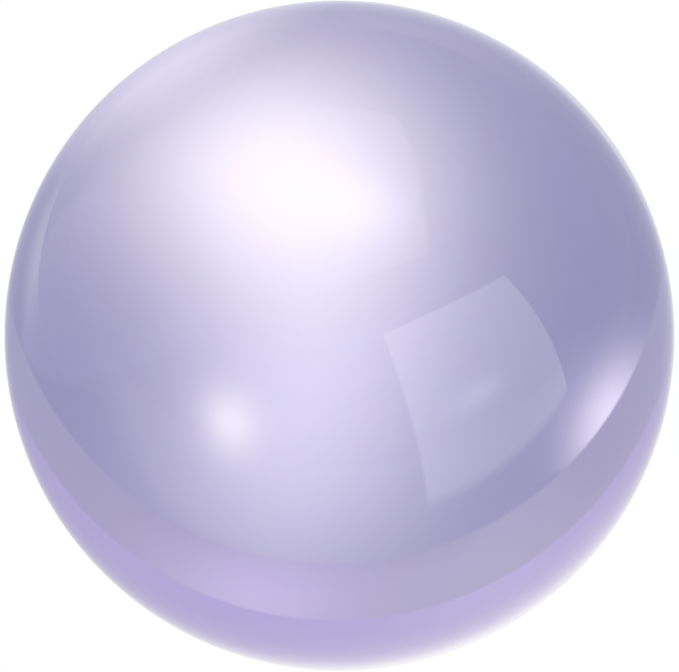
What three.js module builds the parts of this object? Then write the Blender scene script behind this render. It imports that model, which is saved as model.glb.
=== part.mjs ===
// Cue ball: one solid sphere, cast in clear lilac resin and polished all over.
// It has no seam, hole, inlay or core, so the whole object is a single piece.
// Millimetres, +Z up. The origin is the centre of the ball, which is where it
// turns about when it rolls, so the ball's lowest point is one radius below it.

import * as THREE from "three";
import { mergeVertices } from "three/addons/utils/BufferGeometryUtils.js";

// Driving dimensions
const BALL_DIAMETER = 57.15; // 2 1/4 in, the regulation pool ball
const EDGE_SPLITS = 16; // spans along each side of the 20 base triangles

// Derived
const BALL_RADIUS = BALL_DIAMETER / 2;

// A geodesic sphere: every corner lies on the true sphere, and the facets are
// all nearly the same size, so the ball has no poles and rolls alike every way.
// An even number of spans puts a corner at each end of the X, Y and Z axes,
// which makes the overall size exactly the diameter along all three.
function geodesicBall(radius, splits) {
  const facets = new THREE.IcosahedronGeometry(radius, splits - 1);
  facets.deleteAttribute("normal");
  facets.deleteAttribute("uv");
  const ball = mergeVertices(facets, 1e-3);
  ball.computeVertexNormals();
  return ball;
}

// Clear lilac resin with a high polish
const lilacResin = new THREE.MeshStandardMaterial({
  color: new THREE.Color(0.8, 0.77, 0.91),
  roughness: 0.03,
  metalness: 0.0,
  transparent: true,
  opacity: 0.45,
});

const ball = new THREE.Mesh(geodesicBall(BALL_RADIUS, EDGE_SPLITS), lilacResin);
ball.name = "ball";

const cueBall = new THREE.Group();
cueBall.add(ball);

export default cueBall;
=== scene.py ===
"""Clear lilac cue ball standing on a plain pale floor, in metres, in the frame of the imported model.

The ball is one polished clear-resin body. What the eye sees in such a ball is its surroundings, mirrored in the front
and bent through the body, so the studio round it is described here as a short list of named soft lights, screens and
surfaces, each with its place, size, softness and colour.
"""
import math

import bmesh
import bpy
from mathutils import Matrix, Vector


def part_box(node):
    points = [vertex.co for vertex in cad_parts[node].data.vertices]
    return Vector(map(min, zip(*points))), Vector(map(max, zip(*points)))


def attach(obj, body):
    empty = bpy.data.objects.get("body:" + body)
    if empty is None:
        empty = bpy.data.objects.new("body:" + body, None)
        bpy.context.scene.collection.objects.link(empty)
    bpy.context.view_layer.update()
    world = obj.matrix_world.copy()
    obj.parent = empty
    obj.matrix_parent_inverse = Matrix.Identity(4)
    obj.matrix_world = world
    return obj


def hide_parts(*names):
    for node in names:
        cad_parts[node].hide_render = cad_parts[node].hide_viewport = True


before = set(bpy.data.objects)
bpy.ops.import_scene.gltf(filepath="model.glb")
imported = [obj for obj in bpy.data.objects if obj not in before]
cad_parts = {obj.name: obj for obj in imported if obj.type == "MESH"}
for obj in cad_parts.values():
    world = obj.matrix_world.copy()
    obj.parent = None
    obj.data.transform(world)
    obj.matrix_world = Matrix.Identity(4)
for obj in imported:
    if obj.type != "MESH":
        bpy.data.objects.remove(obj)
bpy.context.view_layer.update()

# ---------------------------------------------------------------- sizes and camera
lo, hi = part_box("ball")
CENTRE = (Vector(lo) + Vector(hi)) / 2
R = max(Vector(hi) - Vector(lo)) / 2  # 28.575 mm
FLOOR_Z = lo[2]

ELEVATION = math.radians(46.0)  # how far the camera looks down
DISTANCE = 1.8  # long lens, nearly parallel view
IMAGE_W, IMAGE_H = 679, 672
BALL_PX = 335.1  # the ball's radius in the picture
LIFT_PX = 0.5  # its centre's height above the picture's centre

RIGHT = Vector((1, 0, 0))
UP = Vector((0, math.sin(ELEVATION), math.cos(ELEVATION)))
TOWARD = Vector((0, -math.cos(ELEVATION), math.sin(ELEVATION)))

scene = bpy.context.scene
scene.view_settings.view_transform = "Standard"
scene.view_settings.look = "None"

cam_data = bpy.data.cameras.new("camera")
camera = bpy.data.objects.new("camera", cam_data)
scene.collection.objects.link(camera)
scene.camera = camera
cam_data.sensor_fit = "HORIZONTAL"
cam_data.sensor_width = 36.0
_half = math.tan(math.asin(R / DISTANCE)) * (IMAGE_W / 2) / BALL_PX
cam_data.lens = 18.0 / _half
camera.location = CENTRE + TOWARD * DISTANCE - UP * (LIFT_PX / BALL_PX * R)
camera.rotation_euler = (math.pi / 2 - ELEVATION, 0, 0)
cam_data.clip_start, cam_data.clip_end = 0.05, 20.0


# ---------------------------------------------------------------- node helper
class Net:
    """Adds nodes to a tree one after another and returns their output sockets."""

    def __init__(self, tree):
        self.tree = tree
        self.n = 0
        self.done = {}

    def node(self, kind, **props):
        made = self.tree.nodes.new(kind)
        made.location = (200 * (self.n % 40), -200 * (self.n // 40))
        self.n += 1
        for k, v in props.items():
            setattr(made, k, v)
        return made

    def put(self, socket, value):
        if isinstance(value, bpy.types.NodeSocket):
            self.tree.links.new(value, socket)
        else:
            socket.default_value = value

    def math(self, op, a, b=None, c=None, clamp=False):
        m = self.node("ShaderNodeMath", operation=op, use_clamp=clamp)
        for i, v in enumerate((a, b, c)):
            if v is not None:
                self.put(m.inputs[i], v)
        return m.outputs[0]

    def vec(self, op, a, b=None, scale=None):
        m = self.node("ShaderNodeVectorMath", operation=op)
        self.put(m.inputs[0], a)
        if b is not None:
            self.put(m.inputs[1], b)
        if scale is not None:
            self.put(m.inputs["Scale"], scale)
        return m.outputs["Value"] if op in ("DOT_PRODUCT", "DISTANCE", "LENGTH") else m.outputs["Vector"]

    def dot(self, a, b):
        return self.vec("DOT_PRODUCT", a, tuple(b))

    def smooth(self, value, start, end, to_min=0.0, to_max=1.0):
        """Smooth step of value from start to end (start may be above end)."""
        m = self.node("ShaderNodeMapRange", data_type="FLOAT", interpolation_type="SMOOTHSTEP", clamp=True)
        if start > end:
            start, end, to_min, to_max = end, start, to_max, to_min
        self.put(m.inputs[0], value)
        for i, v in enumerate((start, end, to_min, to_max)):
            m.inputs[i + 1].default_value = v
        return m.outputs[0]

    def point(self, x, y):
        m = self.node("ShaderNodeCombineXYZ")
        self.put(m.inputs[0], x)
        self.put(m.inputs[1], y)
        m.inputs[2].default_value = 1.0
        return m.outputs[0]


# ---------------------------------------------------------------- the studio
# Three ways of placing a thing round the ball:
#   "table"  things on and beyond the table, placed by where the ball shows them through its body: (0, 0) is its
#            middle, 1 is its edge, x to the right and y up as the camera stands at rest; a lens of this index does
#            the rest. They are fixed in the room, and do not move with the camera.
#   "over"   the overhead scrim, on a level plane one unit above the ball (x right, y away from the camera)
#   "side"   the side softbox, on an upright plane one unit from the ball (along, up)
# Shapes: disc(cx, cy, radius, soft), hole = outside of a disc, edge(angle, offset, soft) = a straight edge that keeps
# the side its normal points to, spot(cx, cy, rx, ry, turn) = soft ellipse, band(cx, cy, radius, width) = soft ring.
# Each thing is its colour (linear, never below zero) times all its shapes.
INDEX = 1.5
SIDE_AZIMUTH = math.radians(32.0)
LAMP_THROUGH = 0.22  # how bright the lamps are through the ball, against their mirror image
TABLE_LIGHT, WALL_LIGHT = 0.80, 0.55  # in front of the ball, behind the camera's view
STUDIO = [
    # painted shade: the table round the ball, dim and lilac as in the ball's own shadow, under the painted pools of
    # light
    ("table", "table", (0.340, 0.350, 0.490), [
        ("disc", -0.02, 0.31, 0.99, 0.01),
    ]),
    # pool_high, pool_mid and pool_low: painted pools of light on the table round the ball
    ("pool_high", "table", (0.830, 0.830, 0.570), [
        ("disc", -0.02, 0.31, 0.99, 0.01),
        ("spot", -0.22, 0.5, 0.46, 0.37, -1.92),
    ]),
    ("pool_mid", "table", (0.350, 0.360, 0.270), [
        ("disc", -0.02, 0.31, 0.99, 0.01),
        ("spot", 0.0, 0.08, 0.41, 0.58, -4.69),
    ]),
    ("pool_low", "table", (0.340, 0.340, 0.290), [
        ("disc", -0.02, 0.31, 0.99, 0.01),
        ("spot", -0.18, -0.32, 0.4, 0.48, -2.63),
    ]),
    # painted light on the table, brightest toward the ball's upper left edge
    ("painted_light_limb_ul", "table", (1.600, 1.610, 1.370), [
        ("disc", -0.02, 0.31, 0.99, 0.01),
        ("edge", 122.0, 1.01, 0.39),
    ]),
    # painted glint: a small lamp's reflection on the table
    ("spot", "table", (0.350, 0.370, 0.200), [
        ("disc", -0.02, 0.31, 0.99, 0.01),
        ("spot", -0.33, -0.26, 0.08, 0.1, 24.0),
    ]),
    # painted patch of light on the table, on the ball's right below its middle
    ("painted_light_patch", "table", (0.730, 0.700, 0.580), [
        ("disc", -0.02, 0.31, 0.99, 0.01),
        ("spot", 0.81, -0.24, 0.1, 0.19, -24.0),
        ("edge", 111.0, -0.62, 0.04),
    ]),
    ("far", "table", (0.460, 0.460, 0.570), [
        ("hole", -0.02, 0.31, 0.99, 0.01),
        ("disc", -0.01, 0.18, 1.03, 0.01),
    ]),
    ("far_glow", "table", (0.270, 0.210, 0.270), [
        ("hole", -0.02, 0.31, 0.99, 0.01),
        ("disc", -0.01, 0.18, 1.03, 0.01),
        ("band", -0.07, 0.28, 1.11, 0.2),
        ("spot", -0.23, -0.72, 0.33, 0.29, 2.88),
    ]),
    ("wall", "table", (0.560, 0.510, 0.730), [
        ("hole", -0.01, 0.18, 1.03, 0.01),
    ]),
    ("scrim_near", "over", (0.600, 0.600, 0.600), [
        ("edge", 192.0, -0.52, 0.04),
        ("hole", 0.42, 2.9, 2.04, 0.05),
        ("edge", 279.0, -1.22, 0.04),
        ("edge", 0.0, -3.1, 0.3),
        ("edge", 115.0, -0.46, 0.03),
        ("edge", 0.0, 0.0, 0.9),
    ]),
    ("scrim_hot", "over", (2.400, 2.400, 2.400), [
        ("edge", 192.0, -0.52, 0.04),
        ("hole", 0.42, 2.9, 2.04, 0.05),
        ("edge", 279.0, -1.22, 0.04),
        ("edge", 0.0, -3.1, 0.3),
        ("spot", 0.15, 0.02, 0.28, 0.24, -13.52),
    ]),
    ("soft", "side", (1.700, 1.700, 1.700), [
        ("edge", 172.0, -1.11, 0.02),
        ("edge", 271.0, -1.0, 0.03),
        ("edge", 4.6, -0.11, 0.03),
        ("edge", 96.0, -0.32, 0.12),
    ]),
    ("soft_hot", "side", (1.600, 1.600, 1.600), [
        ("edge", 172.0, -1.11, 0.02),
        ("edge", 271.0, -1.0, 0.03),
        ("edge", 4.6, -0.11, 0.03),
        ("edge", 96.0, -0.32, 0.12),
        ("spot", 0.33, 0.23, 0.17, 0.07, 5.12),
    ]),
]


def build_studio():
    world = bpy.data.worlds.new("studio")
    scene.world = world
    world.use_nodes = True
    tree = world.node_tree
    tree.nodes.clear()
    net = Net(tree)
    ray = net.node("ShaderNodeTexCoord").outputs["Generated"]

    def shape(place, point, kind, *v):
        key = (place, kind) + v
        if key in net.done:
            return net.done[key]
        if kind in ("disc", "hole"):
            cx, cy, radius, soft = v
            d = net.vec("DISTANCE", point, (cx, cy, 1.0))
            a, b = radius - soft / 2, radius + soft / 2
            out = net.smooth(d, b, a) if kind == "disc" else net.smooth(d, a, b)
        elif kind == "edge":
            ang, off, soft = v
            d = net.dot(point, (math.cos(math.radians(ang)), math.sin(math.radians(ang)), -off))
            out = net.smooth(d, -soft / 2, soft / 2)
        elif kind == "spot":
            cx, cy, rx, ry, turn = v
            c, s = math.cos(math.radians(turn)), math.sin(math.radians(turn))
            a = net.dot(point, (c / rx, s / rx, -(cx * c + cy * s) / rx))
            b = net.dot(point, (-s / ry, c / ry, (cx * s - cy * c) / ry))
            q = net.math("MULTIPLY_ADD", b, b, net.math("MULTIPLY", a, a))
            out = net.math("POWER", math.exp(-1.0), net.math("MINIMUM", q, 30.0))
        else:  # band
            cx, cy, radius, width = v
            d = net.math("MULTIPLY_ADD", net.vec("DISTANCE", point, (cx, cy, 1.0)), 1 / width, -radius / width)
            out = net.math("POWER", math.exp(-1.0), net.math("MINIMUM", net.math("MULTIPLY", d, d), 30.0))
        net.done[key] = out
        return out

    def things(place, point):
        total = None
        for name, where, colour, shapes in STUDIO:
            if where != place:
                continue
            mask = None
            for s in shapes:
                m = shape(place, point, *s)
                mask = m if mask is None else net.math("MULTIPLY", mask, m)
            term = net.vec("SCALE", tuple(colour), scale=mask)
            total = term if total is None else net.vec("ADD", total, term)
        return total

    # front: table below the horizon, wall above it
    up = net.dot(ray, (0, 0, 1))
    ahead = net.dot(ray, -TOWARD)
    seen = net.smooth(ahead, -0.10, 0.12)
    front = net.smooth(up, 0.03, -0.03, WALL_LIGHT, TABLE_LIGHT)
    front = net.math("MULTIPLY", front, net.math("SUBTRACT", 1.0, seen))
    total = net.vec("SCALE", (1.0, 1.0, 1.0), scale=front)
    # table: where a straight-through ray leaves the lens, c = cos(half the bend)
    c2 = net.math("MAXIMUM", net.math("MULTIPLY_ADD", ahead, 0.5, 0.5), 1e-4)
    c = net.math("SQRT", c2)
    root = net.math("SQRT", net.math("MULTIPLY_ADD", c, -2 * INDEX, INDEX * INDEX + 1))
    k = net.math("DIVIDE", -INDEX / 2, net.math("MULTIPLY", c, root))
    x = net.math("MULTIPLY", net.dot(ray, RIGHT), k)
    y = net.math("MULTIPLY", net.dot(ray, UP), k)
    # the camera stands at DISTANCE, not at infinity, which pushes the bent picture out a little
    pp = net.math("MINIMUM", net.math("MULTIPLY_ADD", y, y, net.math("MULTIPLY", x, x)), 0.999)
    bend = net.math(
        "SUBTRACT",
        net.math("INVERSE_SQRT", net.math("SUBTRACT", 1.0, pp)),
        net.math("INVERSE_SQRT", net.math("SUBTRACT", INDEX * INDEX, pp)),
    )
    near = R / DISTANCE
    push = net.math("ADD", net.math("DIVIDE", near, net.math("MULTIPLY_ADD", bend, 2.0, -near)), 1.0)
    p = net.point(net.math("MULTIPLY", x, push), net.math("MULTIPLY", y, push))
    total = net.vec("ADD", total, net.vec("SCALE", things("table", p), scale=seen))
    # the lamps are dimmed to LAMP_THROUGH for rays that come out through the ball, so they look dim through the ball
    # and bright in its polish
    through = net.node("ShaderNodeLightPath").outputs["Is Transmission Ray"]
    lamp = net.math("MULTIPLY_ADD", through, LAMP_THROUGH - 1.0, 1.0)
    # over, and side: the same small push for the mirrored picture
    half_way = net.math("INVERSE_SQRT", net.math("MAXIMUM", net.math("MULTIPLY_ADD", ahead, -0.5, 0.5), 1e-3))
    mirrored = net.vec("ADD", ray, net.vec("SCALE", tuple(TOWARD * (-near / 2)), scale=half_way))
    up = net.dot(mirrored, (0, 0, 1))
    z = net.math("MAXIMUM", up, 0.05)
    q = net.point(
        net.math("DIVIDE", net.dot(mirrored, (1, 0, 0)), z),
        net.math("DIVIDE", net.dot(mirrored, (0, 1, 0)), z),
    )
    total = net.vec("ADD", total, net.vec("SCALE", things("over", q), scale=net.math("MULTIPLY", lamp, net.smooth(up, 0.05, 0.15))))
    # side
    out = (math.sin(SIDE_AZIMUTH), -math.cos(SIDE_AZIMUTH), 0)
    along = (math.cos(SIDE_AZIMUTH), math.sin(SIDE_AZIMUTH), 0)
    o = net.dot(mirrored, out)
    oc = net.math("MAXIMUM", o, 0.03)
    h = net.point(net.math("DIVIDE", net.dot(mirrored, along), oc), net.math("DIVIDE", up, oc))
    total = net.vec("ADD", total, net.vec("SCALE", things("side", h), scale=net.math("MULTIPLY", lamp, net.smooth(o, 0.05, 0.12))))
    total = net.vec("MAXIMUM", total, (0.0, 0.0, 0.0))

    light = net.node("ShaderNodeBackground")
    tree.links.new(total, light.inputs["Color"])
    plain = net.node("ShaderNodeBackground")
    plain.inputs["Color"].default_value = (1, 1, 1, 1)
    path = net.node("ShaderNodeLightPath")
    mix = net.node("ShaderNodeMixShader")
    tree.links.new(path.outputs["Is Camera Ray"], mix.inputs[0])
    tree.links.new(light.outputs[0], mix.inputs[1])
    tree.links.new(plain.outputs[0], mix.inputs[2])
    end = net.node("ShaderNodeOutputWorld")
    tree.links.new(mix.outputs[0], end.inputs["Surface"])
    world.cycles.sampling_method = "NONE"


build_studio()


# ---------------------------------------------------------------- floor
def build_floor():
    size = 6.0
    mesh = bpy.data.meshes.new("floor")
    s = size / 2
    mesh.from_pydata([(-s, -s, FLOOR_Z), (s, -s, FLOOR_Z), (s, s, FLOOR_Z), (-s, s, FLOOR_Z)], [], [(0, 1, 2, 3)])
    floor = bpy.data.objects.new("floor", mesh)
    scene.collection.objects.link(floor)
    mat = bpy.data.materials.new("pale_floor")
    mat.use_nodes = True
    tree = mat.node_tree
    tree.nodes.clear()
    net = Net(tree)
    where = net.node("ShaderNodeTexCoord").outputs["Object"]
    # a soft pool of shade under the ball, lilac where light comes through it
    x = net.dot(where, (1 / R, 0, 0))
    y = net.dot(where, (0, 1 / R, 0))
    p = net.point(x, y)
    d = net.vec("DISTANCE", p, (0.0, 0.20, 1.0))
    wide = net.smooth(d, 0.62, 0.10)
    core = net.smooth(net.vec("DISTANCE", p, (0.0, 0.0, 1.0)), 0.30, 0.0)
    shade = net.node("ShaderNodeMix", data_type="RGBA")
    net.put(shade.inputs["Factor"], wide)
    shade.inputs[6].default_value = (1, 1, 1, 1)
    shade.inputs[7].default_value = (0.62, 0.58, 0.72, 1)
    deep = net.node("ShaderNodeMix", data_type="RGBA")
    net.put(deep.inputs["Factor"], core)
    tree.links.new(shade.outputs[2], deep.inputs[6])
    deep.inputs[7].default_value = (0.30, 0.26, 0.40, 1)
    e = net.node("ShaderNodeEmission")
    tree.links.new(deep.outputs[2], e.inputs["Color"])
    o = net.node("ShaderNodeOutputMaterial")
    tree.links.new(e.outputs[0], o.inputs["Surface"])
    mesh.materials.append(mat)
    floor.visible_diffuse = False
    floor.visible_glossy = False
    floor.visible_transmission = False
    floor.visible_volume_scatter = False
    floor.visible_shadow = False


build_floor()


# ---------------------------------------------------------------- the ball
def build_ball():
    """A geodesic ball, fine enough that the bent picture in it has no facets, with its vertices on the true sphere."""
    bm = bmesh.new()
    bmesh.ops.create_icosphere(bm, subdivisions=7, radius=R)
    for v in bm.verts:
        v.co = v.co.normalized() * R + CENTRE
    for f in bm.faces:
        f.smooth = True
    mesh = bpy.data.meshes.new("cue_ball_body")
    bm.to_mesh(mesh)
    bm.free()
    ball = bpy.data.objects.new("cue_ball_body", mesh)
    scene.collection.objects.link(ball)
    return ball


def resin():
    """Clear lilac cast resin, polished: absorbs a little green and red over its depth, with the faint cloudiness of
    cast resin in its colour, and a polish that varies by a hair with wipe marks and hairline scratches."""
    mat = bpy.data.materials.new("lilac_resin")
    mat.use_nodes = True
    tree = mat.node_tree
    tree.nodes.clear()
    net = Net(tree)
    where = net.node("ShaderNodeTexCoord").outputs["Object"]

    def noise(scale, detail, rough, seed):
        m = net.node("ShaderNodeTexNoise", noise_dimensions="4D")
        tree.links.new(where, m.inputs["Vector"])
        m.inputs["Scale"].default_value = scale
        m.inputs["Detail"].default_value = detail
        m.inputs["Roughness"].default_value = rough
        m.inputs["W"].default_value = seed
        return m.outputs["Fac"]

    def mix(fac, a, b):
        m = net.node("ShaderNodeMix", data_type="RGBA")
        net.put(m.inputs["Factor"], fac)
        net.put(m.inputs[6], a)
        net.put(m.inputs[7], b)
        return m.outputs[2]

    cloud = net.smooth(noise(230.0, 4.0, 0.6, 1.7), 0.30, 0.70)
    hue = net.smooth(noise(420.0, 3.0, 0.6, 6.2), 0.33, 0.67)
    grain = net.smooth(noise(1500.0, 3.0, 0.6, 3.4), 0.25, 0.75)
    tint = mix(hue, (0.965, 0.985, 1.0, 1), (1.0, 0.965, 0.985, 1))
    tint = mix(net.math("MULTIPLY", cloud, 0.5), tint, (1.0, 1.0, 1.0, 1))
    tint = mix(net.math("MULTIPLY", grain, 0.5), tint, (0.97, 0.965, 0.98, 1))

    # hairline scratches: thin lines where a slow noise crosses its middle value, broken up by another noise
    def hairs(scale, seed, width, keep):
        n = noise(scale, 1.0, 0.4, seed)
        line = net.smooth(net.math("ABSOLUTE", net.math("SUBTRACT", n, 0.5)), width, 0.0)
        gate = net.smooth(noise(scale * 1.7, 1.0, 0.5, seed + 11.0), keep, keep + 0.06)
        return net.math("MULTIPLY", line, gate)

    scratch = net.math("MAXIMUM", hairs(38.0, 20.3, 0.0016, 0.54), hairs(55.0, 41.9, 0.0016, 0.56))
    wipe = net.smooth(noise(130.0, 3.0, 0.6, 9.1), 0.35, 0.70, 0.012, 0.038)
    rough = net.math("MULTIPLY_ADD", scratch, 0.05, wipe)

    # height in metres: polish that waves by well under a micrometre, and scratches a quarter of a micrometre deep
    wave = net.math("MULTIPLY", noise(330.0, 2.0, 0.5, 14.0), 4e-7)
    height = net.math("MULTIPLY_ADD", scratch, -2.5e-7, wave)
    bump = net.node("ShaderNodeBump")
    bump.inputs["Strength"].default_value = 1.0
    bump.inputs["Distance"].default_value = 1.0
    net.put(bump.inputs["Height"], height)

    b = net.node("ShaderNodeBsdfPrincipled")
    b.inputs["IOR"].default_value = INDEX
    b.inputs["Transmission Weight"].default_value = 1.0
    tree.links.new(tint, b.inputs["Base Color"])
    tree.links.new(rough, b.inputs["Roughness"])
    tree.links.new(bump.outputs[0], b.inputs["Normal"])
    v = net.node("ShaderNodeVolumeAbsorption")
    v.inputs["Color"].default_value = (0.64, 0.49, 0.973, 1)
    v.inputs["Density"].default_value = 10.0
    o = net.node("ShaderNodeOutputMaterial")
    tree.links.new(b.outputs[0], o.inputs["Surface"])
    tree.links.new(v.outputs[0], o.inputs["Volume"])
    return mat


ball = build_ball()
ball.data.materials.append(resin())
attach(ball, "root")
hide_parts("ball")
